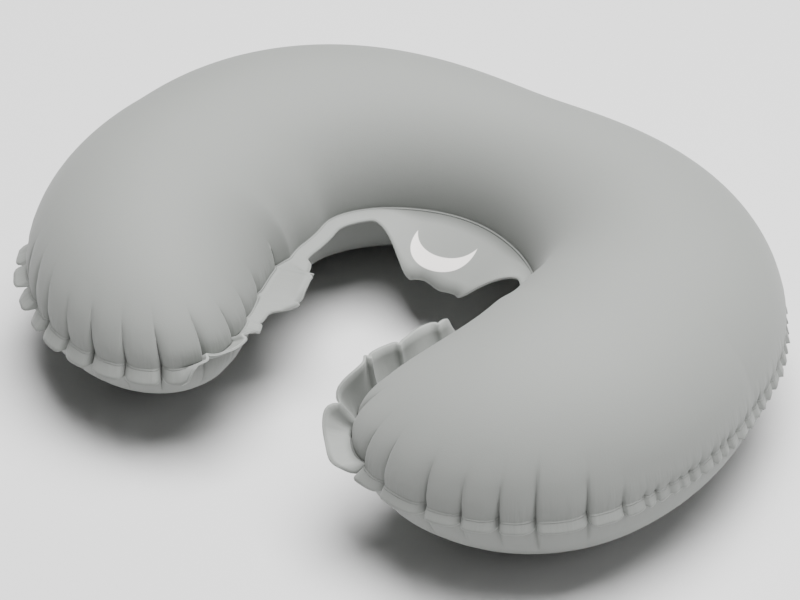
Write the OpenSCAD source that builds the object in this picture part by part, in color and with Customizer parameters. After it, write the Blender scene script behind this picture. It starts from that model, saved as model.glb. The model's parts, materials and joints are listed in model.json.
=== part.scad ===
// Inflatable U-shaped neck pillow: two welded sheets of coated fabric and a two-stage air valve.
// The origin is below the middle of the pillow, on the surface that it lies on.
// +Z is up, +Y points to the closed end behind the neck, and the arms reach towards -Y.

/* [Outline] */
// Distance from the middle plane to the centre line of each arm
arm_centre = 125; // [115:1:140]
// Distance from the middle of the neck opening back to the centre line of the closed end
back_reach = 94; // [85:1:105]
// Distance forward to where the two centre lines would meet
front_reach = 100; // [95:1:110]
// How far the arms spread outwards per millimetre forward
arm_splay = 0.12; // [0:0.01:0.15]
// Length of the centre line from the middle of the closed end to the end of an arm
half_length = 320; // [300:1:335]
// Length of the rounded end of each arm
tip_length = 98; // [80:1:110]
// Squareness of the outline, where 2 is an ellipse
squareness = 2.2; // [2:0.05:2.6]

/* [Tube section] */
// Half width of the tube at the closed end
width_back = 41; // [38:1:46]
// Half width that the tube's swell is drawn towards
width_swell = 81; // [74:1:86]
// Half width of the tube at the arm's end, before it is rounded off
width_end = 55; // [50:1:60]
// Height of the tube above the seam at the closed end
height_back = 47; // [42:1:52]
// Height that the swell is drawn towards
height_swell = 66; // [60:1:72]
// Height of the tube above the seam at the arm's end
height_end = 53; // [48:1:58]
// Depth of the tube below the seam at the closed end
depth_back = 46; // [42:1:50]
// Depth that the swell is drawn towards
depth_swell = 61; // [56:1:66]
// Depth of the tube below the seam at the arm's end
depth_end = 53; // [48:1:58]
// Fullness of the section, where 2 is an ellipse
section_fullness = 1.9; // [1.8:0.05:2.2]
// How far the underside is flattened by the surface that it lies on
floor_flat = 2; // [0.5:0.5:3]

/* [Welded edge] */
// Thickness of one sheet of coated fabric
sheet = 0.6; // [0.4:0.1:1]
// Width of the welded band around the outside
band = 8.5; // [6:0.5:10]
// Extra width of the welded band inside the ends of the arms
tip_flap = 13; // [0:1:16]
// Reach of the label tab from the seam behind the neck
tab_reach = 42; // [20:1:50]
// Half the length of seam that the label tab takes up, along the centre line
tab_half = 75; // [50:1:85]
// Angle at which the label tab droops
tab_droop = 30; // [0:1:45]

/* [Valve] */
// Distance of the valve along the centre line from the middle of the closed end
valve_run = 165; // [140:1:190]
// Place of the valve between the crown (0) and the outer seam (1)
valve_across = 0.78; // [0.7:0.01:0.82]
// Radius of the valve's outer disc
disc_r = 16; // [15.5:0.5:18]
// Radius of the deflation opening
bore_r = 9; // [8.5:0.5:9.5]
// Radius of the inflation port
port_r = 3.2; // [3:0.1:3.5]

/* [Hidden] */
fabric_colour = [0.70, 0.71, 0.70];
valve_colour = [0.60, 0.61, 0.60];
disc_colour = [0.85, 0.85, 0.82];
half_widths = [width_back, width_swell, width_end];
upper_heights = [height_back, height_swell, height_end];
lower_depths = [depth_back, depth_swell, depth_end];
tangent_step = 6;
seam_step = 12;
end_power = 1.76;

// Centre line: an ellipse-like curve that is measured off by its running length
arc_steps = 360;
centre_arc = [for (k = [0:arc_steps]) arc_point(180 * k / arc_steps)];
run = [for (k = 0, d = 0; k <= arc_steps; d = k < arc_steps ? d + norm(centre_arc[k + 1] - centre_arc[k]) : d,
    k = k + 1) d];
x_by_run = [for (k = [0:arc_steps]) [run[k], centre_arc[k].x]];
y_by_run = [for (k = [0:arc_steps]) [run[k], centre_arc[k].y]];

function arc_point(a) = let (c = cos(a), p = 2 / squareness, ahead = c < 0 ? front_reach * pow(-c, p) : 0)
    [arm_centre * pow(max(sin(a), 0), p) + arm_splay * ahead, c < 0 ? -ahead : back_reach * pow(c, p)];
function side_of(s) = s < 0 ? -1 : 1;
function centre(s) = [side_of(s) * lookup(abs(s), x_by_run), lookup(abs(s), y_by_run)];
function along(s) = let (d = centre(s + tangent_step) - centre(s - tangent_step)) d / norm(d);
function outward(s) = let (t = along(s)) [-t.y, t.x];

// Section: three control values blended along the centre line, level at the middle of the closed end
function ease(f) = 1.2 * f * f / (f + 0.2);
function blend3(v, f) = v[0] * (1 - f) * (1 - f) + 2 * v[1] * f * (1 - f) + v[2] * f * f;
function along_blend(v, s) = blend3(v, ease(abs(s) / half_length));
function end_part(s) = max(0, (abs(s) - half_length + tip_length) / tip_length);
function half_width(s) = along_blend(half_widths, s) * sqrt(max(0, 1 - pow(end_part(s), 2)));
function rise(heights, s) = along_blend(heights, s) * sqrt(max(0, 1 - pow(end_part(s), end_power)));
function swell(t) = sqrt(max(0, 1 - pow(abs(t), section_fullness)));

// Stations along the centre line: even along the arms, by angle around their ends
arm_steps = 20;
tip_steps = 12;
half_stations = [
    for (k = [1:arm_steps]) (half_length - tip_length) * k / arm_steps,
    for (k = [1:tip_steps]) half_length - tip_length * (1 - sin(90 * k / tip_steps))
];
n_half = len(half_stations);
stations = [for (k = [n_half - 1:-1:0]) -half_stations[k], 0, each half_stations];
last = len(stations) - 1;
across_steps = 16;
across = [for (j = [0:across_steps]) cos(180 * j / across_steps)];
seam_z = max([for (s = stations) rise(lower_depths, s)]) - floor_flat;
rim = [for (i = [0:last]) each [edge(i, 1), edge(i, -1)]];
y_middle = (max([for (p = rim) p.y]) + min([for (p = rim) p.y])) / 2;

// A point of a sheet at depth d below its outer face; up is 1 for the upper sheet, -1 for the lower
function skin(s, t, up, d) = let (
        xy = centre(s) + outward(s) * max(half_width(s) - d, 0) * t,
        height = max(rise(up > 0 ? upper_heights : lower_depths, s) - sheet, 0) * swell(t),
        z = seam_z + up * (sheet - d + height)
    ) [xy.x, xy.y, up > 0 ? z : max(z, d)];
function seam_point(s, t) = centre(s) + outward(s) * half_width(s) * t;
function seam_out(s, t) = let (reach = min(seam_step, 0.6 * (half_length - abs(s))))
    reach < 0.1 ? side_of(s) * along(s) :
    let (d = seam_point(s + reach, t) - seam_point(s - reach, t)) t * [-d.y, d.x] / norm(d);

// Welded band: narrow outside, wider inside the arms' ends, drawn out into the label tab behind the neck
function in_tab(s) = abs(s) < tab_half ? pow(1 - pow(s / tab_half, 4), 0.5) : 0;
function in_flap(s) = let (f = (abs(s) / half_length - 0.3) / 0.7) f > 0 ? sin(180 * f * f) : 0;
function band_width(s, t) = t > 0 ? band :
    max(band, tab_reach * in_tab(s)) + (abs(s) > tab_half ? tip_flap * in_flap(s) : 0);
function droop(s, t) = t > 0 ? 0 : tab_droop * in_tab(s);
function edge(i, t) = let (
        s = stations[i],
        reach = band_width(s, t),
        xy = seam_point(s, t) + seam_out(s, t) * reach * cos(droop(s, t))
    ) [xy.x, xy.y, seam_z - reach * sin(droop(s, t))];

// One ring of a sheet: outer face of the band, outer skin, band, and back along the inner faces
ring_size = 2 * across_steps + 6;
function ring(i, up) = let (s = stations[i], lift = [0, 0, up * sheet]) [
    edge(i, 1) + lift,
    for (t = across) skin(s, t, up, 0),
    edge(i, -1) + lift,
    edge(i, -1),
    for (j = [across_steps:-1:0]) skin(s, across[j], up, sheet),
    edge(i, 1)
];
// At the end of an arm the two sides of a ring share their points
function shared(k) = k == across_steps + 2 ? 0 : k > 0 && k < across_steps + 2 ? 1 :
    k == across_steps + 3 ? ring_size - 1 : k > across_steps + 3 && k < ring_size - 1 ? ring_size - 2 : k;
function id(i, k) = i * ring_size + (i == 0 || i == last ? shared(k % ring_size) : k % ring_size);
function turned(f, up) = up > 0 ? f : [f[2], f[1], f[0]];
// The inner face is split along the same diagonals as the outer face
function quad(a, b, c, d, inner) = inner ? [[a, b, d], [a, d, c]] : [[a, b, c], [c, b, d]];
panel_faces = [
    for (i = [0:last - 1], k = [0:ring_size - 1])
        for (f = quad(id(i, k), id(i + 1, k), id(i, k + 1), id(i + 1, k + 1), k > across_steps + 2))
            if (f[0] != f[1] && f[1] != f[2] && f[2] != f[0]) f
];

module panel(up) {
    translate([0, -y_middle, 0])
        polyhedron([for (i = [0:last]) each ring(i, up)], [for (f = panel_faces) turned(f, up)]);
}

// Valve frame: z out of the lower sheet, x along the arm
valve_spot = skin(-valve_run, valve_across, -1, 0);
side_step = 4;
across_step = 0.06;
valve_side = skin(-valve_run - side_step, valve_across, -1, 0) -
    skin(-valve_run + side_step, valve_across, -1, 0);
valve_down = skin(-valve_run, valve_across - across_step, -1, 0) -
    skin(-valve_run, valve_across + across_step, -1, 0);
valve_out = cross(valve_down, valve_side) / norm(cross(valve_down, valve_side));
valve_turn = 90;

module at_valve() {
    translate(valve_spot - [0, y_middle, 0])
        rotate([0, acos(valve_out.z), atan2(valve_out.y, valve_out.x)])
            rotate([0, 0, valve_turn]) children();
}

// A slab of the lower sheet's neighbourhood between two depths, on the sheet's own grid
slab_reach = 40;
slab_rings = [for (i = [0:last]) if (abs(stations[i] + valve_run) < slab_reach) i];
slab_row = 8;
slab_across = [0:slab_row - 1];
slab_count = len(slab_rings) * slab_row;
module slab(d_out, d_in) {
    points = [for (d = [d_out, d_in], i = slab_rings, j = slab_across) skin(stations[i], across[j], -1, d)];
    rows = len(slab_rings);
    quads = [for (i = [0:rows - 2], j = [0:slab_row - 2]) i * slab_row + j];
    rim_path = [
        for (j = [0:slab_row - 1]) j,
        for (i = [1:rows - 1]) i * slab_row + slab_row - 1,
        for (j = [slab_row - 2:-1:0]) (rows - 1) * slab_row + j,
        for (i = [rows - 2:-1:1]) i * slab_row
    ];
    faces = [
        for (q = quads) each [[q, q + 1, q + slab_row], [q + 1, q + slab_row + 1, q + slab_row]],
        for (q = quads) each [
            [slab_count + q + slab_row, slab_count + q + 1, slab_count + q],
            [slab_count + q + slab_row, slab_count + q + slab_row + 1, slab_count + q + 1]
        ],
        for (k = [0:len(rim_path) - 1]) let (p = rim_path[k], n = rim_path[(k + 1) % len(rim_path)]) each
            [[p, slab_count + p, n], [n, slab_count + p, slab_count + n]]
    ];
    translate([0, -y_middle, 0]) polyhedron(points, faces);
}

// Valve sizes, measured along its own axis from the sheet's outer face
disc_top = 1.6;
collar_wall = 1.4;
collar_depth = 6;
weld_pad = 0.8;
flange_r = bore_r + 3.2;
flange_low = disc_top + 0.15;
flange_top = flange_low + 1;
plug_gap = 0.2;
plug_wall = 1.1;
plug_depth = 5;
plug_taper = 0.8;
plug_end_r = bore_r - plug_gap - plug_taper;
plug_pull = [5, 6];
plug_strap_size = [0.7, 7];
strap_overlap = 1;
strap_edge = 0.6;
seat_low = -2;
seat_wall = 1.4;
bar_size = [1, 0.8];
bar_root = 0.4;
hub_r = 1.4;
cap_r = 6.2;
cap_low = flange_top + 0.15;
cap_thick = 1;
cap_pull = [2.6, 5];
cap_strap_size = [0.4, 4];
cap_strap_end = 10.4;
stopper_gap = 0.2;
stopper_taper = 0.3;
stopper_length = 2;
disc_thick = 0.5;
disc_gap = 0.3;
seat_gap = 0.1;
stem_r = 0.5;
stem_gap = 0.1;
stem_head_r = 1;
stem_head = 0.5;
lift = 1;
joined = 0.1;
through = 20;
round_fn = 64;
small_fn = 32;

module upper_panel() {
    color(fabric_colour) panel(1);
}

module lower_panel() {
    color(fabric_colour) difference() {
        panel(-1);
        at_valve() translate([0, 0, -through])
            cylinder(r = bore_r + collar_wall, h = 2 * through, $fn = round_fn);
    }
}

module valve_base() {
    color(valve_colour) difference() {
        union() {
            difference() {
                at_valve() translate([0, 0, -4]) cylinder(r = disc_r, h = disc_top + 4, $fn = round_fn);
                slab(0, 12);
            }
            intersection() {
                slab(sheet, sheet + weld_pad);
                at_valve() translate([0, 0, -8]) cylinder(r = disc_r, h = 12, $fn = round_fn);
            }
            at_valve() translate([0, 0, -collar_depth])
                cylinder(r = bore_r + collar_wall, h = collar_depth + disc_top, $fn = round_fn);
        }
        at_valve() translate([0, 0, -through]) cylinder(r = bore_r, h = 2 * through, $fn = round_fn);
    }
}

// Bending strip of moulded plastic from x0 to x1, with its thickness and width in size
module strip(x0, x1, low, size) {
    translate([x0, -size[1] / 2, low]) cube([x1 - x0, size[1], size[0]]);
}

module plug_strap() {
    color(valve_colour) at_valve() difference() {
        strip(strap_edge - disc_r, strap_overlap - flange_r, disc_top, plug_strap_size);
        cylinder(r = flange_r, h = through, $fn = round_fn);
    }
}

module plug_body() {
    translate([0, 0, flange_low]) cylinder(r = flange_r, h = flange_top - flange_low, $fn = round_fn);
    translate([0, 0, flange_low - plug_depth])
        cylinder(r1 = plug_end_r, r2 = bore_r - plug_gap, h = plug_depth, $fn = round_fn);
    translate([flange_r - 1, -plug_pull[1] / 2, flange_low])
        cube([plug_pull[0], plug_pull[1], flange_top - flange_low]);
}

// Space inside the plug's wall, around the port's tube
module plug_hollow() {
    difference() {
        translate([0, 0, seat_low - through])
            cylinder(r = plug_end_r - plug_wall, h = through - seat_low + flange_low - 1, $fn = round_fn);
        translate([0, 0, seat_low]) cylinder(r = port_r + seat_wall, h = through, $fn = round_fn);
    }
}

// Three bars across the port, with a hub that the check disc's stem slides in
module spider() {
    difference() {
        union() {
            for (a = [0, 60, 120]) rotate([0, 0, a])
                translate([-port_r - bar_root, -bar_size[0] / 2, seat_low])
                    cube([2 * (port_r + bar_root), bar_size[0], bar_size[1]]);
            translate([0, 0, seat_low]) cylinder(r = hub_r, h = bar_size[1], $fn = small_fn);
        }
        translate([0, 0, seat_low - 1]) cylinder(r = stem_r + stem_gap, h = 4, $fn = small_fn);
    }
}

module deflation_plug() {
    color(valve_colour) at_valve() difference() {
        plug_body();
        plug_hollow();
        difference() {
            translate([0, 0, seat_low - 1]) cylinder(r = port_r, h = 10, $fn = round_fn);
            spider();
        }
    }
}

module check_disc() {
    stem_top = seat_low + bar_size[1] + lift + joined;
    color(disc_colour) at_valve() {
        translate([0, 0, seat_low - seat_gap - disc_thick])
            cylinder(r = port_r + seat_wall - disc_gap, h = disc_thick, $fn = round_fn);
        translate([0, 0, seat_low - seat_gap - joined])
            cylinder(r = stem_r, h = stem_top - seat_low + seat_gap + 2 * joined, $fn = small_fn);
        translate([0, 0, stem_top - joined / 2]) cylinder(r = stem_head_r, h = stem_head, $fn = small_fn);
    }
}

module cap_strap() {
    color(valve_colour) at_valve() difference() {
        strip(cap_r - 1, cap_strap_end, flange_top, cap_strap_size);
        cylinder(r = cap_r, h = through, $fn = round_fn);
    }
}

module port_cap() {
    color(valve_colour) at_valve() {
        translate([0, 0, cap_low]) cylinder(r = cap_r, h = cap_thick, $fn = round_fn);
        translate([-cap_r - cap_pull[0], -cap_pull[1] / 2, cap_low])
            cube([cap_pull[0] + strap_overlap + 0.4, cap_pull[1], cap_thick]);
        translate([0, 0, cap_low - stopper_length])
            cylinder(r1 = port_r - stopper_gap - stopper_taper, r2 = port_r - stopper_gap,
                h = stopper_length + joined, $fn = small_fn);
    }
}

upper_panel();
lower_panel();
valve_base();
plug_strap();
deflation_plug();
check_disc();
cap_strap();
port_cap();
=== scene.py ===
import json
import math

import bmesh
import bpy
import numpy as np
from bpy.props import FloatProperty, FloatVectorProperty, IntProperty, PointerProperty
from mathutils import Matrix, Vector


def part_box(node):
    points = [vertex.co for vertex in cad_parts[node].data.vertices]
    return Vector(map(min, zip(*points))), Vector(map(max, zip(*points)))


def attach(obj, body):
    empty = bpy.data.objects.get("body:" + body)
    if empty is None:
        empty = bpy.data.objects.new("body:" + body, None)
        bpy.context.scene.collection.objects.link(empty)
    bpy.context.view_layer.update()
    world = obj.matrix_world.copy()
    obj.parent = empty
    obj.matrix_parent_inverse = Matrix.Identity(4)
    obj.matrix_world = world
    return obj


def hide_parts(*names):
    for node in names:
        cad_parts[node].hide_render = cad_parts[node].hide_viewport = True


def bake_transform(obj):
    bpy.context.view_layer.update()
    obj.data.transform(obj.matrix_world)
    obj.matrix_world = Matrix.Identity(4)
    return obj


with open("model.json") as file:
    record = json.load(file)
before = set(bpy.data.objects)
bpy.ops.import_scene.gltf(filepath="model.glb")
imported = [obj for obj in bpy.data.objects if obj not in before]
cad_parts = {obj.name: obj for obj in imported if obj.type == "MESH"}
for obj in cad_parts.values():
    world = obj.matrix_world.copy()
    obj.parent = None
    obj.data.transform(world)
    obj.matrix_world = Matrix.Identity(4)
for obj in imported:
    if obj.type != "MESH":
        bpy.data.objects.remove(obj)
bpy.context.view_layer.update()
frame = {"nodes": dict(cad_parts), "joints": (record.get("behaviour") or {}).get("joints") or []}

bl_info = {
    "name": "Neck Pillow",
    "version": (1, 0, 0),
    "blender": (4, 5, 0),
    "location": "3D View > Sidebar > Neck Pillow",
    "description": "Builds an inflated U-shaped neck pillow from two welded sheets",
    "category": "Object",
}

MM = 0.001
SEAM_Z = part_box("lower_panel")[1][2]
BACK_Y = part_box("upper_panel")[1][1]
JOINTS = {joint["name"]: joint for joint in frame["joints"]}


# From the valve's axis to the plug's hinge, and the hinge's height over the sheet's outer face
HINGE_REACH = 13.8 * MM
HINGE_RISE = 2.1 * MM
# Radius of the hole in the lower sheet, just inside the valve base's disc
VALVE_HOLE = 12.4 * MM


def valve_axes():
    """A point on the valve's axis at the sheet's outer face, with x across its hinges and z outwards."""
    plug, cap = (Vector(JOINTS[name]["pos_m"]) for name in ("plug_hinge", "cap_hinge"))
    z = -Vector(JOINTS["flap_lift"]["axis"]).normalized()
    x = (cap - plug) - (cap - plug).dot(z) * z
    x.normalize()
    return plug + HINGE_REACH * x - HINGE_RISE * z, x, z.cross(x), z


VALVE, VALVE_X, VALVE_Y, VALVE_Z = valve_axes()


# ---------------------------------------------------------------- settings


class PillowShape(bpy.types.PropertyGroup):
    """Sizes of the inflated pillow, as in the design."""

    arm_centre: FloatProperty(name="Arm centre", description="Middle plane to an arm's centre line",
        default=0.125, unit="LENGTH")
    back_reach: FloatProperty(name="Back reach",
        description="Neck opening's middle to the closed end's centre line",
        default=0.094, unit="LENGTH")
    front_reach: FloatProperty(name="Front reach",
        description="Distance forward to where the centre lines would meet",
        default=0.100, unit="LENGTH")
    arm_splay: FloatProperty(name="Arm splay", description="Outward spread per metre forward", default=0.12)
    half_length: FloatProperty(name="Half length",
        description="Centre line from the closed end to an arm's end",
        default=0.320, unit="LENGTH")
    tip_length: FloatProperty(name="Tip length", description="Length of an arm's rounded end",
        default=0.098, unit="LENGTH")
    squareness: FloatProperty(name="Squareness", description="Squareness of the outline, 2 is an ellipse",
        default=2.2)
    fullness: FloatProperty(name="Fullness", description="Fullness of the section, 2 is an ellipse",
        default=1.9)
    half_widths: FloatVectorProperty(name="Half widths", description="Closed end, swell and arm's end",
        default=(0.041, 0.081, 0.055), subtype="XYZ_LENGTH")
    upper_heights: FloatVectorProperty(name="Upper heights", description="Height above the weld",
        default=(0.047, 0.066, 0.053), subtype="XYZ_LENGTH")
    lower_depths: FloatVectorProperty(name="Lower depths", description="Depth below the weld",
        default=(0.046, 0.061, 0.053), subtype="XYZ_LENGTH")
    sheet: FloatProperty(name="Sheet", description="Thickness of one sheet", default=0.0006, unit="LENGTH")


class BandShape(bpy.types.PropertyGroup):
    """Sizes of the welded band, its flap and the label tab."""

    band: FloatProperty(name="Band", description="Width of the band round the outside", default=0.0085,
        unit="LENGTH")
    tab_reach: FloatProperty(name="Tab reach", description="Reach of the label tab", default=0.039,
        unit="LENGTH")
    tab_half: FloatProperty(name="Tab half length",
        description="Half the weld's length that the tab takes up",
        default=0.075, unit="LENGTH")
    tab_droop: FloatProperty(name="Tab droop", description="Angle at which the tab hangs",
        default=math.radians(30), subtype="ANGLE")
    rows: IntProperty(name="Rows", description="Rows of faces across the band", default=5)


class PleatShape(bpy.types.PropertyGroup):
    """Fineness of the net that carries the pleats."""

    rows: IntProperty(name="Rows", description="Rows of faces from the weld to the crown", default=35)
    spacing: FloatProperty(name="Spacing", description="Distance between stations along the centre line",
        default=0.0034, unit="LENGTH")


class Colours(bpy.types.PropertyGroup):
    """Colours of the finishes."""

    fabric: FloatVectorProperty(name="Fabric", description="Coated fabric", default=(0.225, 0.234, 0.222),
        subtype="COLOR")
    mark: FloatVectorProperty(name="Mark", description="Printed mark on the tab", default=(0.90, 0.86, 0.83),
        subtype="COLOR")
    plastic: FloatVectorProperty(name="Valve plastic", description="Moulded valve pieces", default=(0.38,
        0.39, 0.38),
        subtype="COLOR")


SETTINGS = (("pillow_shape", PillowShape), ("band_shape", BandShape), ("pleat_shape", PleatShape),
    ("pillow_colours", Colours))

# ---------------------------------------------------------------- outline and section


class Outline:
    """The U-shaped centre line, measured by its running length, and the section that follows it."""

    def __init__(self, shape, band):
        self.shape = shape
        self.band = band
        power = 2 / shape.squareness
        angle = np.linspace(0, math.pi, 3000)
        ahead = np.where(np.cos(angle) < 0, shape.front_reach * np.abs(np.cos(angle)) ** power, 0)
        x = shape.arm_centre * np.maximum(np.sin(angle), 0) ** power + shape.arm_splay * ahead
        y = np.where(np.cos(angle) < 0, -ahead, shape.back_reach * np.abs(np.cos(angle)) ** power)
        self.run = np.concatenate([[0], np.cumsum(np.hypot(np.diff(x), np.diff(y)))])
        self.x = x
        self.y = y + BACK_Y - shape.back_reach - shape.half_widths[0] - band.band

    def centre(self, s):
        run = np.abs(s)
        side = np.where(s < 0, -1.0, 1.0)
        return np.stack([side * np.interp(run, self.run, self.x), np.interp(run, self.run, self.y)], -1)

    def along(self, s):
        step = self.centre(s + 6 * MM) - self.centre(s - 6 * MM)
        return step / np.linalg.norm(step, axis=-1, keepdims=True)

    def outward(self, s):
        t = self.along(s)
        return np.stack([-t[..., 1], t[..., 0]], -1)

    def end_part(self, s):
        tip = self.shape.tip_length
        return np.clip((np.abs(s) - self.shape.half_length + tip) / tip, 0, 1)

    def blend(self, values, s):
        f = np.clip(np.abs(s) / self.shape.half_length, 0, 1)
        f = 1.2 * f * f / (f + 0.2)
        return values[0] * (1 - f) ** 2 + 2 * values[1] * f * (1 - f) + values[2] * f * f

    def half_width(self, s):
        return self.blend(self.shape.half_widths, s) * np.sqrt(1 - self.end_part(s) ** 2)

    def rise(self, heights, s):
        return self.blend(heights, s) * np.sqrt(1 - self.end_part(s) ** 1.76)

    def swell(self, t):
        return np.sqrt(np.clip(1 - np.abs(t) ** self.shape.fullness, 0, 1))

    def weld(self, s, side):
        return self.centre(s) + self.outward(s) * (self.half_width(s) * side)[..., None]

    def weld_out(self, s, side):
        """Unit normal of the weld line in its plane, pointing away from the chamber."""
        reach = np.minimum(6 * MM, 0.6 * (self.shape.half_length - np.abs(s)))
        d = self.weld(s + reach, side) - self.weld(s - reach, side)
        size = np.linalg.norm(d, axis=-1, keepdims=True)
        normal = np.expand_dims(side, -1) * np.stack([-d[..., 1], d[..., 0]], -1) / np.maximum(size, 1e-9)
        tip = np.where(s < 0, -1.0, 1.0)[..., None] * self.along(s)
        return np.where(reach[..., None] < 0.05 * MM, tip, normal)


def smooth(x):
    x = np.clip(x, 0, 1)
    return x * x * (3 - 2 * x)


# Deepest pull of a pleat, its length up the sheet, and how far it draws in the band's edge, in millimetres
PLEAT_PULL = 4.8
PLEAT_LENGTH = 33
PLEAT_TUCK = 3.4
# Wide lobes of the flap inside an arm's end: middle and half length along the weld from the arm's tip, with
# the outside positive, and extra reach, all in millimetres, then lift in degrees
RIGHT_LOBES = ((-30, 50, 16, 80), (10, 30, 5, 25))
LEFT_LOBES = ((-60, 25, 14, 15), (0, 25, 3, 50))


def pleat_list(seed, gaps, flare):
    """Pleats round one arm: place, depth and length against the usual, and the band's hang up to the next.

    They are deep and well apart round the arm's end, and shallow and close together along its side. The flare
    is how many degrees less the band hangs where it stands out at the side.
    """
    rng = np.random.default_rng(seed)
    found = []
    place = -70.0
    while place < 520:
        along = smooth((place - 130) / 50)
        neck = smooth(-place / 40)
        depth = (1 - 0.6 * along) * (1 - 0.6 * neck) * rng.uniform(0.8, 1.2)
        length = (0.75 + (gaps[1] / 50 - 0.75) * along) * (1 - 0.4 * neck) * rng.uniform(0.8, 1.2)
        hang = 55 + 15 * along - flare * smooth(1 - abs(place - 140) / 50) + rng.uniform(-6, 6)
        found.append((place, depth, length, hang))
        place += (gaps[0] + (gaps[1] - gaps[0]) * along) * rng.uniform(0.75, 1.25)
    return found


def lobe_sum(place, lobes, column):
    """A lobe's value over its middle half, falling smoothly to nothing at its ends, summed over the lobes."""
    return sum(lobe[column] * smooth(2 - 2 * np.abs(place - lobe[0]) / lobe[1]) for lobe in lobes)


class Membrane:
    """Both sheets and the band as one net: a ring of stations round the weld, with rows to the crown."""

    def __init__(self, outline, pleats):
        self.outline = outline
        self.settings = pleats
        self.pleats = {1: pleat_list(7, (20, 7.5), 0), -1: pleat_list(8, (20, 15), 40)}
        shape = outline.shape
        self.arm = shape.half_length - shape.tip_length
        half = {arm: self.stations(arm) for arm in (1, -1)}
        u = np.concatenate([-half[-1][::-1], half[1][1:]])
        self.count = len(u)
        self.u = np.concatenate([u, u[-2:0:-1]])
        self.side = np.where(np.arange(len(self.u)) < self.count, 1.0, -1.0)
        self.s = self.running(self.u)
        over = np.maximum(np.abs(self.s) - self.arm, 0)
        waist = outline.half_width(np.array(self.arm))
        self.hub = np.sign(self.s) * (np.abs(self.s) - over * (1 - (1 - (waist / shape.tip_length) ** 2)))
        self.place = self.side * self.tip_distance(np.abs(self.u), self.side)
        rows = pleats.rows
        self.t = np.cos(math.pi / 2 * (np.arange(rows + 1) / rows) ** 1.25)
        self.t[-1] = 0

    def running(self, u):
        """Distance along the centre line of a station, even along the arm and by angle round its end."""
        tip = self.outline.shape.tip_length
        over = np.clip((np.abs(u) - self.arm) / tip, 0, math.pi / 2)
        return np.sign(u) * np.where(np.abs(u) < self.arm, np.abs(u), self.arm + tip * np.sin(over))

    def tip_distance(self, u, side):
        """Distance along the weld from the arm's tip, in millimetres."""
        fine = np.linspace(0, self.arm + self.outline.shape.tip_length * math.pi / 2, 5000)
        found = {}
        for way in (1, -1):
            p = self.outline.weld(self.running(fine), way)
            run = np.concatenate([[0], np.cumsum(np.linalg.norm(np.diff(p, axis=0), axis=-1))])
            found[way] = (run[-1] - run) / MM
        self.fine = fine, found
        return np.where(side > 0, np.interp(u, fine, found[1]), np.interp(u, fine, found[-1]))

    def stations(self, arm):
        """Stations along one arm: evenly spaced, and close together where a pleat needs it."""
        self.tip_distance(np.zeros(1), 1)
        fine, found = self.fine
        wanted = [np.linspace(0, fine[-1], round(fine[-1] / self.settings.spacing))]
        for where, depth, _, _ in self.pleats[arm]:
            deep = (-6, -3.6, -2.1, -1.1, -0.45, 0, 0.4, 0.9, 1.6, 2.6)
            run = found[1 if where > 0 else -1][::-1]
            wanted.append(np.interp(abs(where) + np.array(deep if depth > 0.52 else (-2.4, -1, 0, 1)), run,
                fine[::-1]))
        kept = [0.0]
        for u in sorted(np.concatenate(wanted)):
            if u - kept[-1] > 0.32 * MM:
                kept.append(u)
        kept[-1] = fine[-1]
        return np.array(kept)

    def dome(self, up):
        """Inner face of the sheet above (1) or below (-1) the weld, before it is pleated."""
        o = self.outline
        s = self.hub[:, None] + (self.s - self.hub)[:, None] * self.t[None]
        off = o.half_width(self.s)[:, None] * self.t[None]
        width = np.maximum(o.half_width(s), 1e-6)
        xy = o.centre(s) + o.outward(s) * (self.side[:, None] * off)[..., None]
        heights = o.shape.upper_heights if up > 0 else o.shape.lower_depths
        full = o.swell(np.clip(off / width, 0, 1))
        z = SEAM_Z + up * np.maximum(o.rise(heights, s) - o.shape.sheet, 0) * full
        return np.concatenate([xy, z[..., None]], -1)

    def by_arm(self, field, *grids, level=0.0):
        """A field worked out for each arm with its own pleats."""
        left = (self.s < 0).reshape(-1, *[1] * (grids[0].ndim - 1))
        near = smooth(np.abs(self.s) / (14 * MM)).reshape(left.shape)
        found = np.where(left, field(self.pleats[-1], *grids), field(self.pleats[1], *grids))
        return found * near + level * (1 - near)

    def build(self):
        """Points of the domes and the band, and their distances from the arm's tip and from the weld."""
        o = self.outline
        out = np.concatenate([self.weld_out(), np.zeros((len(self.s), 1))], -1)
        middle = np.concatenate([o.centre(self.hub), np.full((len(self.s), 1), SEAM_Z)], -1)[:, None]
        domes = {}
        for up in (1, -1):
            dome = self.dome(up)
            steps = np.linalg.norm(np.diff(dome, axis=1), axis=-1)
            run = np.concatenate([np.zeros((len(self.s), 1)), np.cumsum(steps, axis=1)], axis=1) / MM
            place = np.broadcast_to(self.place[:, None], run.shape)
            pull = self.by_arm(gather, place, run)
            if up < 0:
                pull = pull * self.away_from_valve(dome) * (1 - 0.3 * smooth(run / 8))
            normal = ring_normals(dome, dome - middle)
            normal[:, 0] = out
            domes[up] = dome + normal * (pull * MM)[..., None], np.stack([place, run], -1) * MM
        weld = domes[1][0][:, 0]
        domes[-1][0][:, 0] = weld
        return domes[1], domes[-1], self.band(weld, out)

    def weld_out(self):
        return self.outline.weld_out(self.s, self.side)

    def away_from_valve(self, dome):
        """Nothing at the valve's disc, rising to one a little way off it."""
        return smooth(np.linalg.norm(dome - np.array(VALVE), axis=-1) / (12 * MM) - 1.4)

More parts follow.
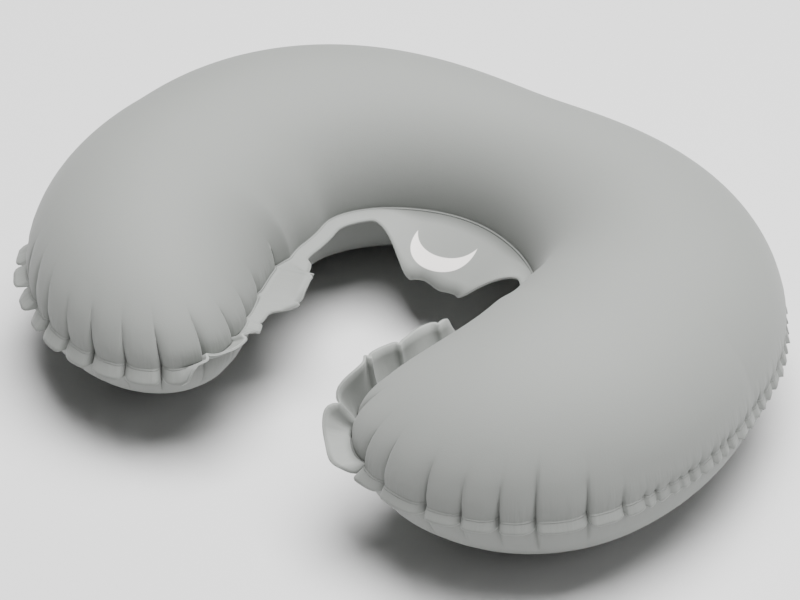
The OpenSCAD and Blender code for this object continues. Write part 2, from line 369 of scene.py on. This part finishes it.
    def band(self, weld, out):
        sizes = self.outline.band
        e = np.arange(sizes.rows + 1)[None] / sizes.rows
        zeta = self.place
        left = self.s < 0
        wide, lifted = (np.where(left, lobe_sum(zeta, LEFT_LOBES, column), lobe_sum(zeta, RIGHT_LOBES,
            column))
            for column in (2, 3))
        outer = smooth((zeta - np.where(left, 15, 30)) / 8)
        narrow = 0.26 * smooth((zeta - 30) / 20) * smooth((440 - zeta) / 80) * (self.s > 0)
        reach = sizes.band / MM * (1 - narrow * outer) + wide * (1 - outer)
        hang = self.by_arm(sag, zeta, level=70.0)
        lift = (lifted - 12) * (1 - outer) - hang * outer
        s = self.s / MM
        part = smooth((sizes.tab_half / MM - np.abs(s)) / 45) * (self.side < 0)
        wavy = 1.2 * np.sin(s / 8 + 1)
        reach = reach + part * (sizes.tab_reach / MM - reach + wavy)
        lift = lift * (1 - part) - math.degrees(sizes.tab_droop) * part
        flap = smooth(wide / 8) * (1 - outer) * (1 - part)
        ruffle = flap * (2.2 * np.sin(zeta / 6) + 0.6 * np.sin(zeta / 3 + 1) + 0.2 * np.sin(zeta / 1.5))
        angle = np.radians(lift)[:, None] * (1 - 0.15 * (1 - e))
        tucked = self.by_arm(tuck, zeta)[:, None] * outer[:, None] * e ** 0.7
        away = (e * reach[:, None] * np.cos(angle) - ruffle[:, None] * np.sin(angle) * e ** 1.5 - tucked) * MM
        high = (e * reach[:, None] * np.sin(angle) + ruffle[:, None] * np.cos(angle) * e ** 1.5) * MM
        points = weld[:, None] + out[:, None] * away[..., None]
        points[..., 2] += high
        run = np.stack([np.broadcast_to(zeta[:, None], high.shape), -e * reach[:, None]], -1) * MM
        self.rim = (1 - e) * reach[:, None] * MM
        return points, run


def gather(pleats, place, run):
    """How far pleats pull the skin in (negative) or let it bulge (positive), in millimetres."""
    total = np.zeros_like(run)
    for where, depth, length, _ in pleats:
        reach = PLEAT_LENGTH * length
        x = place - where
        wide, steep = 2.5, 0.6
        across = np.where(x < 0, -x / wide, x / steep) * (1 + 0.6 * run / reach)
        total -= PLEAT_PULL * depth * np.exp(-across) * np.clip(1 - run / reach, 0, 1) ** 1.1
    for (a, da, la, _), (b, db, lb, _) in zip(pleats[:-1], pleats[1:]):
        hump = (0.4 + 0.6 * smooth(run / 8)) * smooth(1 - (run - 6) / (22 * (la + lb)))
        u = np.clip((place - a) / (b - a), 0, 1)
        total += (4 * u * (1 - u)) ** 0.8 * 1.2 * (da + db) / 2 * min((b - a) / 22, 1.2) * hump
    return total


def sag(pleats, place):
    """Angle at which the band hangs between each pair of pleats, in degrees."""
    total = np.zeros_like(place)
    for a, b in zip(pleats[:-1], pleats[1:]):
        inside = smooth((place - a[0]) / 3.5) * smooth((b[0] - place) / 1.6)
        angle = a[3] + (b[3] - a[3]) * smooth(1 - (b[0] - place) / 3)
        total += ((place >= a[0]) & (place < b[0])) * angle * (0.88 + 0.12 * inside)
    return total


def tuck(pleats, place):
    """How far the band's free edge is drawn in at each pleat, in millimetres."""
    total = np.zeros_like(place)
    for where, depth, _, _ in pleats:
        x = place - where
        total += PLEAT_TUCK * depth ** 1.3 * np.exp(-np.where(x < 0, -x / 1.8, x / 0.9))
    return total


def ring_normals(points, away):
    """Unit normals of a closed ring of rows, on the same side as the vectors away."""
    round_ring = np.roll(points, -1, axis=0) - np.roll(points, 1, axis=0)
    normal = np.cross(round_ring, np.gradient(points, axis=1))
    size = np.linalg.norm(normal, axis=-1, keepdims=True)
    guess = away / np.maximum(np.linalg.norm(away, axis=-1, keepdims=True), 1e-9)
    normal = np.where(size > 1e-12, normal / np.maximum(size, 1e-15), guess)
    return normal * np.where((normal * away).sum(-1, keepdims=True) < 0, -1, 1)


# ---------------------------------------------------------------- meshes


class Net:
    """The net's points, numbered so that neighbouring grids share the points on their common lines."""

    def __init__(self, membrane):
        (upper, upper_run), (lower, lower_run), (band, band_run) = membrane.build()
        size, rows = len(membrane.s), membrane.settings.rows
        mirror = np.arange(size)
        mirror[membrane.count:] = np.arange(membrane.count - 2, 0, -1)
        self.points = np.concatenate([upper.reshape(-1, 3), lower[:, 1:].reshape(-1, 3), band[:,
            1:].reshape(-1, 3)])
        self.rim = np.full(len(self.points), 0.05)
        self.rim[-band[:, 1:].size // 3:] = membrane.rim[:, 1:].ravel()
        self.rim[np.arange(size) * (rows + 1)] = membrane.rim[:, 0]
        top = np.arange(size * (rows + 1)).reshape(size, rows + 1)
        low = top.size + np.arange(size * rows).reshape(size, rows)
        rim = top.size + low.size + np.arange(size * (band.shape[1] - 1)).reshape(size, -1)
        weld = top[:, :1].copy()
        top[:, -1] = top[mirror, -1]
        low[:, -1] = low[mirror, -1]
        self.grids = {
            1: (top, upper_run),
            -1: (np.concatenate([weld, low], 1), lower_run),
            0: (np.concatenate([weld, rim], 1), band_run),
        }

    def faces(self, key, turn):
        """Faces of one grid, as point numbers and corner coordinates."""
        ids, run = self.grids[key]
        faces = self.corners(ids[..., None])[..., 0]
        places = self.corners(run)
        return (faces[:, ::-1], places[:, ::-1]) if turn else (faces, places)

    def corners(self, grid):
        after = np.roll(grid, -1, axis=0)
        quads = np.stack([grid[:, :-1], after[:, :-1], after[:, 1:], grid[:, 1:]], 2)
        return quads.reshape(-1, 4, grid.shape[-1])

    def mesh(self, name, up):
        """One sheet with its own half of the band, its faces pointing outwards."""
        dome, dome_run = self.faces(up, up > 0)
        band, band_run = self.faces(0, up < 0)
        faces = np.concatenate([dome, band])
        places = np.concatenate([dome_run, band_run])
        if up < 0:
            centres = self.points[faces].mean(1)
            clear = off_axis(centres) > VALVE_HOLE
            faces, places = faces[clear], places[clear]
        used, renumbered = np.unique(faces, return_inverse=True)
        points = self.points[used]
        points[:, 2] = np.maximum(points[:, 2], 1.4 * bpy.context.scene.pillow_shape.sheet)
        mesh = bpy.data.meshes.new(name)
        mesh.from_pydata(points.tolist(), [], renumbered.reshape(-1, 4).tolist())
        mesh.uv_layers.new(name="weld").data.foreach_set("uv", places.astype(np.float32).ravel())
        mesh.attributes.new("rim", "FLOAT", "POINT").data.foreach_set("value",
            self.rim[used].astype(np.float32))
        printed = mesh.attributes.new("printed", "FLOAT", "POINT").data
        printed.foreach_set("value", np.full(len(used), max(up, 0), np.float32))
        mesh.polygons.foreach_set("use_smooth", np.ones(len(faces), bool))
        mesh.update()
        return mesh


def off_axis(points):
    """Distances of points from the valve's axis, for those near the valve."""
    rel = points - np.array(VALVE)
    along = rel @ np.array(VALVE_Z)
    far = np.linalg.norm(rel - along[:, None] * np.array(VALVE_Z), axis=1)
    return np.where(np.abs(along) < 20 * MM, far, 1.0)


def new_object(name, mesh):
    ob = bpy.data.objects.new(name, mesh)
    bpy.context.scene.collection.objects.link(ob)
    return ob


def moulded(node, material, body, width):
    """A moulded piece in place of a node: its own shape with softened edges."""
    mesh = frame["nodes"][node].data.copy()
    mesh.name = node + "_moulded"
    work = bmesh.new()
    work.from_mesh(mesh)
    bmesh.ops.remove_doubles(work, verts=work.verts, dist=0.002 * MM)
    bmesh.ops.dissolve_limit(work, angle_limit=math.radians(1.5), verts=work.verts, edges=work.edges)
    work.to_mesh(mesh)
    work.free()
    mesh.materials.clear()
    mesh.materials.append(material)
    mesh.polygons.foreach_set("use_smooth", np.ones(len(mesh.polygons), bool))
    ob = new_object(mesh.name, mesh)
    bevel = ob.modifiers.new("edges", "BEVEL")
    bevel.width = width * MM
    bevel.segments = 2
    bevel.limit_method = "ANGLE"
    bevel.angle_limit = math.radians(35)
    bevel.harden_normals = True
    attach(ob, body)
    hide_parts(node)
    return ob


def bent_strap(name, node, material, ends, level, size, turn):
    """A thin moulded strap lying flat in the valve's plane, with sixteen rows along it, in millimetres.

    ends and turn are places along the valve's x. turn holds the thin middle, then the bend's start and end,
    which are not used.
    size is thickness and width.
    """
    rows = 16
    mesh = bpy.data.meshes.new(name)
    points, faces = [], []
    for k in range(rows + 1):
        along = ends[0] + (ends[1] - ends[0]) * k / rows
        thin = 1 - 0.35 * math.exp(-((along - turn[0]) / 0.7) ** 2)
        for side, up in ((-1, 0), (1, 0), (1, 1), (-1, 1)):
            points.append(VALVE + MM * (along * VALVE_X + side * size[1] / 2 * VALVE_Y
                + (level + up * size[0] * thin) * VALVE_Z))
    for k in range(rows):
        for j in range(4):
            faces.append((4 * k + j, 4 * k + (j + 1) % 4, 4 * k + 4 + (j + 1) % 4, 4 * k + 4 + j))
    faces += [(3, 2, 1, 0), (4 * rows, 4 * rows + 1, 4 * rows + 2, 4 * rows + 3)]
    mesh.from_pydata([tuple(p) for p in points], [], faces)
    mesh.materials.append(material)
    work = bmesh.new()
    work.from_mesh(mesh)
    bmesh.ops.recalc_face_normals(work, faces=work.faces)
    work.to_mesh(mesh)
    work.free()
    ob = new_object(name, mesh)
    start, end = (VALVE + MM * (x * VALVE_X + (level + size[0] / 2) * VALVE_Z) for x in turn[1:])
    tuple(start)
    tuple(end)
    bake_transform(ob)
    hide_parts(node)
    return ob


def give_thickness(ob):
    solid = ob.modifiers.new("thickness", "SOLIDIFY")
    solid.thickness = bpy.context.scene.pillow_shape.sheet
    solid.offset = 1
    solid.use_rim = True


# ---------------------------------------------------------------- materials


class Socket:
    """A number or vector socket that Python's operators turn into Math nodes."""

    def __init__(self, finish, link):
        self.finish = finish
        self.link = link

    def sum(self, operation, *others):
        return self.finish.node("ShaderNodeMath", {"operation": operation}, [self, *others])

    def __add__(self, other):
        return self.sum("ADD", other)

    __radd__ = __add__

    def __sub__(self, other):
        return self.sum("SUBTRACT", other)

    def __rsub__(self, other):
        return self.finish.node("ShaderNodeMath", {"operation": "SUBTRACT"}, [other, self])

    def __mul__(self, other):
        return self.sum("MULTIPLY", other)

    __rmul__ = __mul__

    def __pow__(self, other):
        return self.sum("ABSOLUTE").sum("POWER", other)

    def clamp(self, low, high, soft=True):
        kind = "SMOOTHSTEP" if soft else "LINEAR"
        return self.finish.node("ShaderNodeMapRange", {"interpolation_type": kind}, {"Value": self,
            "From Min": low, "From Max": high})


class Finish:
    """A material whose nodes are written as expressions."""

    def __init__(self, name):
        self.material = bpy.data.materials.new(name)
        self.material.use_nodes = True
        self.tree = self.material.node_tree
        self.tree.nodes.clear()
        self.shader = self.tree.nodes.new("ShaderNodeBsdfPrincipled")
        output = self.tree.nodes.new("ShaderNodeOutputMaterial")
        self.tree.links.new(self.shader.outputs[0], output.inputs[0])

    def node(self, kind, settings=None, values=None, output=0):
        node = self.tree.nodes.new(kind)
        for key, value in (settings or {}).items():
            setattr(node, key, value)
        pairs = values.items() if isinstance(values, dict) else enumerate(values or [])
        for key, value in pairs:
            self.plug(node.inputs[key], value)
        return Socket(self, node.outputs[output])

    def plug(self, socket, value):
        if isinstance(value, Socket):
            self.tree.links.new(value.link, socket)
        else:
            socket.default_value = value

    def place(self):
        return self.node("ShaderNodeTexCoord", output="Object")

    def split(self, vector):
        """The three parts of a vector."""
        node = self.tree.nodes.new("ShaderNodeSeparateXYZ")
        self.plug(node.inputs[0], vector)
        return tuple(Socket(self, out) for out in node.outputs)

    def from_valve(self):
        """Distance from the valve's axis."""
        rel = self.node("ShaderNodeVectorMath", {"operation": "SUBTRACT"}, [self.place(), tuple(VALVE)])
        across = [self.node("ShaderNodeVectorMath", {"operation": "DOT_PRODUCT"}, [rel, tuple(axis)],
            output="Value")
            for axis in (VALVE_X, VALVE_Y)]
        return (across[0] ** 2.0 + across[1] ** 2.0) ** 0.5

    def ridge(self, distance, width):
        """One on a line where distance is zero, falling away within width."""
        return (distance * distance).clamp(width * width, 0.0)

    def noise(self, scale, detail=3.0, place=None):
        return self.node("ShaderNodeTexNoise", None, {"Vector": place or self.place(), "Scale": scale,
            "Detail": detail})

    def mix(self, factor, a, b):
        return self.node("ShaderNodeMix", {"data_type": "RGBA"}, {0: factor, 6: a, 7: b}, output=2)

    def bump(self, height):
        """A normal from a height in metres."""
        return self.node("ShaderNodeBump", None, {"Height": height, "Distance": 1.0, "Strength": 1.0})

    def set(self, **values):
        for key, value in values.items():
            self.plug(self.shader.inputs[key.replace("_", " ")], value)


def colour(values, level=1.0):
    return (*(v * level for v in values), 1.0)


def coated_fabric(colours):
    """Matt coated cloth: a fine even weave under a soft skin, embossed along the weld, with painted
    highlights on it and the cut edge.
    """
    f = Finish("coated_fabric")
    base = colours.fabric
    weld = f.node("ShaderNodeUVMap", {"uv_map": "weld"})
    place, off, _ = f.split(weld)
    x, y, _ = f.split(f.place())
    rim = f.node("ShaderNodeAttribute", {"attribute_name": "rim"}, output="Fac")
    cloud = f.noise(11.0, 4.0)
    weave = f.noise(2400.0, 1.0)
    soft = f.noise(120.0, 3.0)
    printed = f.node("ShaderNodeAttribute", {"attribute_name": "printed"}, output="Fac")
    # The valve's weld ring and the weld line are embossed. With the band's cut edge, they also carry a
    # painted highlight.
    ring = f.ridge(f.from_valve() - 0.0172, 0.0007) * (1.0 - printed)
    line = f.ridge(off + 0.0009, 0.0006) + ring
    edge = f.ridge(rim, 0.0008)
    pressed = off.clamp(0.0, -0.001)
    lines = f.node("ShaderNodeMapping", None, {"Vector": weld, "Scale": (340.0, 45.0, 1.0)})
    puckers = f.noise(1.0, 2.0, lines) * off.clamp(0.016, 0.0005) * off.clamp(-0.018, -0.007)
    puckers = puckers * place.clamp(-0.08, -0.05)
    tone = f.mix(cloud, colour(base, 0.965), colour(base, 1.035))
    # Painted highlight: the weld lines, the valve's weld ring and the band's cut edge are painted lighter, as
    # if catching the light.
    tone = f.mix(line * 0.35 + edge * 0.5, tone, colour(base, 1.5))
    tone = f.mix(crescent(x, y, off, rim) * printed, tone, colour(colours.mark))
    height = weave * (0.00006 - 0.00003 * pressed) + soft * 0.00004 + line * 0.0003
    height = height + puckers * (0.0008 - 0.0003 * pressed)
    f.set(Base_Color=tone, Roughness=0.66 - 0.08 * pressed + 0.06 * cloud, Normal=f.bump(height))
    f.set(Sheen_Weight=0.12, Sheen_Roughness=0.5, Specular_IOR_Level=0.35)
    return f.material


def crescent(x, y, off, rim):
    """A plain crescent printed on the tab: inside one circle and outside another, on the tab's own flat."""
    across, down = x + 0.006, off + 0.019
    outer = (across ** 2.0 + (down - 0.004) ** 2.0) ** 0.5
    inner = (across ** 2.0 + (down - 0.013) ** 2.0) ** 0.5
    shape = outer.clamp(0.0172, 0.0168) * inner.clamp(0.0178, 0.0182)
    return shape * off.clamp(-0.0005, -0.0015) * rim.clamp(0.0, 0.001) * y.clamp(0.0, 0.005)


def moulded_plastic(colours):
    """Soft moulded plastic with a fine satin grain."""
    f = Finish("valve_plastic")
    grain = f.noise(1800.0, 2.0)
    cloud = f.noise(60.0, 2.0)
    far = f.from_valve()
    rings = f.ridge(far - 0.0136, 0.0004) + f.ridge(far - 0.0148, 0.0004) + f.ridge(far - 0.0108, 0.0004)
    rings = rings + f.ridge(far - 0.0046, 0.0004)
    f.set(Base_Color=f.mix(cloud, colour(colours.plastic, 0.96), colour(colours.plastic, 1.04)),
        Roughness=0.38 + 0.12 * grain, Normal=f.bump(grain * 0.00003 + rings * 0.0002))
    f.set(Specular_IOR_Level=0.5)
    return f.material


def silicone():
    """Milky silicone rubber."""
    f = Finish("silicone")
    cloud = f.noise(300.0, 2.0)
    f.set(Base_Color=f.mix(cloud, (0.72, 0.72, 0.69, 1), (0.8, 0.8, 0.77, 1)), Roughness=0.3 + 0.1 * cloud)
    return f.material


def floor_finish():
    f = Finish("floor")
    f.set(Base_Color=f.mix(f.noise(3.0), (0.67, 0.67, 0.67, 1), (0.69, 0.69, 0.69, 1)), Roughness=0.9)
    return f.material


# ---------------------------------------------------------------- operators


class BuildPillow(bpy.types.Operator):
    """Make the two welded sheets of the inflated pillow"""
    bl_idname = "pillow.build_sheets"
    bl_label = "Welded Sheets"

    def execute(self, context):
        scene = context.scene
        net = Net(Membrane(Outline(scene.pillow_shape, scene.band_shape), scene.pleat_shape))
        fabric = coated_fabric(scene.pillow_colours)
        for name, up in (("upper_sheet", 1), ("lower_sheet", -1)):
            ob = new_object(name, net.mesh(name, up))
            give_thickness(ob)
            ob.data.materials.append(fabric)
            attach(ob, "cushion")
            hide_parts("upper_panel" if up > 0 else "lower_panel")
        return {"FINISHED"}


class BuildValve(bpy.types.Operator):
    """Make the valve's moulded pieces and the two straps at its hinges"""
    bl_idname = "pillow.build_valve"
    bl_label = "Valve"

    def execute(self, context):
        plastic = moulded_plastic(context.scene.pillow_colours)
        for node, body, width in (("valve_base", "cushion", 0.3), ("deflation_plug", "plug", 0.2),
                ("port_cap", "cap", 0.25)):
            moulded(node, plastic, body, width)
        moulded("check_disc", silicone(), "flap", 0.08)
        bent_strap("plug_hinge_strap", "plug_strap", plastic, ends=(-15.4, -11.3), level=1.62, size=(0.66,
            7.0),
            turn=(-13.8, -14.9, -12.6))
        bent_strap("cap_hinge_strap", "cap_strap", plastic, ends=(10.4, 5.3), level=2.77, size=(0.4, 4.0),
            turn=(7.8, 8.8, 6.8))
        return {"FINISHED"}


class BuildStage(bpy.types.Operator):
    """Make the floor, the lights and the camera"""
    bl_idname = "pillow.build_stage"
    bl_label = "Stage"

    def execute(self, context):
        mesh = bpy.data.meshes.new("floor")
        size = 12.0
        mesh.from_pydata([(-size, -size, 0), (size, -size, 0), (size, size, 0), (-size, size, 0)], [], [(0,
            1, 2, 3)])
        floor = new_object("floor", mesh)
        mesh.materials.append(floor_finish())
        world = bpy.data.worlds.new("studio")
        world.use_nodes = True
        world.node_tree.nodes["Background"].inputs[0].default_value = (1, 1, 1, 1)
        world.node_tree.nodes["Background"].inputs[1].default_value = 0.07
        context.scene.world = world
        for name, place, size, power in (
            ("overhead", (0.2, 0.3, 2.4), 1.8, 200.0),
            ("side", (1.8, 0.3, 1.0), 1.2, 6.0),
        ):
            light = bpy.data.lights.new(name, "AREA")
            light.size = size
            light.energy = power
            ob = bpy.data.objects.new(name, light)
            ob.location = place
            ob.rotation_euler = (Vector((0, 0, 0.05)) - Vector(place)).to_track_quat("-Z", "Y").to_euler()
            context.scene.collection.objects.link(ob)
        camera = bpy.data.objects.new("camera", bpy.data.cameras.new("camera"))
        azimuth, elevation, roll = math.radians(38.0), math.radians(38.65), math.radians(-3.36)
        back = Vector((math.sin(azimuth) * math.cos(elevation), -math.cos(azimuth) * math.cos(elevation),
            math.sin(elevation)))
        right = Vector((math.cos(azimuth), math.sin(azimuth), 0))
        above = back.cross(right)
        axes = (right * math.cos(roll) + above * math.sin(roll),
            above * math.cos(roll) - right * math.sin(roll), back)
        target = Vector((0.0062, -0.0203, SEAM_Z))
        camera.matrix_world = Matrix.Translation(target + back * 1.367) @ Matrix(axes).transposed().to_4x4()
        camera.data.lens = 127.2
        camera.data.sensor_width = 36.0
        camera.data.clip_end = 50.0
        context.scene.collection.objects.link(camera)
        context.scene.camera = camera
        return {"FINISHED"}


class PillowPanel(bpy.types.Panel):
    """Lists the pillow's sizes and its build steps"""
    bl_idname = "VIEW3D_PT_neck_pillow"
    bl_label = "Neck Pillow"
    bl_space_type = "VIEW_3D"
    bl_region_type = "UI"
    bl_category = "Neck Pillow"

    def draw(self, context):
        for name, kind in SETTINGS:
            box = self.layout.box()
            for key in kind.__annotations__:
                box.prop(getattr(context.scene, name), key)
        for operator in OPERATORS:
            self.layout.operator(operator.bl_idname)


OPERATORS = (BuildPillow, BuildValve, BuildStage)
CLASSES = (*(kind for _, kind in SETTINGS), *OPERATORS, PillowPanel)


def register():
    for kind in CLASSES:
        bpy.utils.register_class(kind)
    for name, kind in SETTINGS:
        setattr(bpy.types.Scene, name, PointerProperty(type=kind))


def unregister():
    for name, _ in SETTINGS:
        delattr(bpy.types.Scene, name)
    for kind in reversed(CLASSES):
        bpy.utils.unregister_class(kind)


def main():
    register()
    bpy.ops.pillow.build_sheets()
    bpy.ops.pillow.build_valve()
    bpy.ops.pillow.build_stage()


if __name__ == "__main__":
    main()
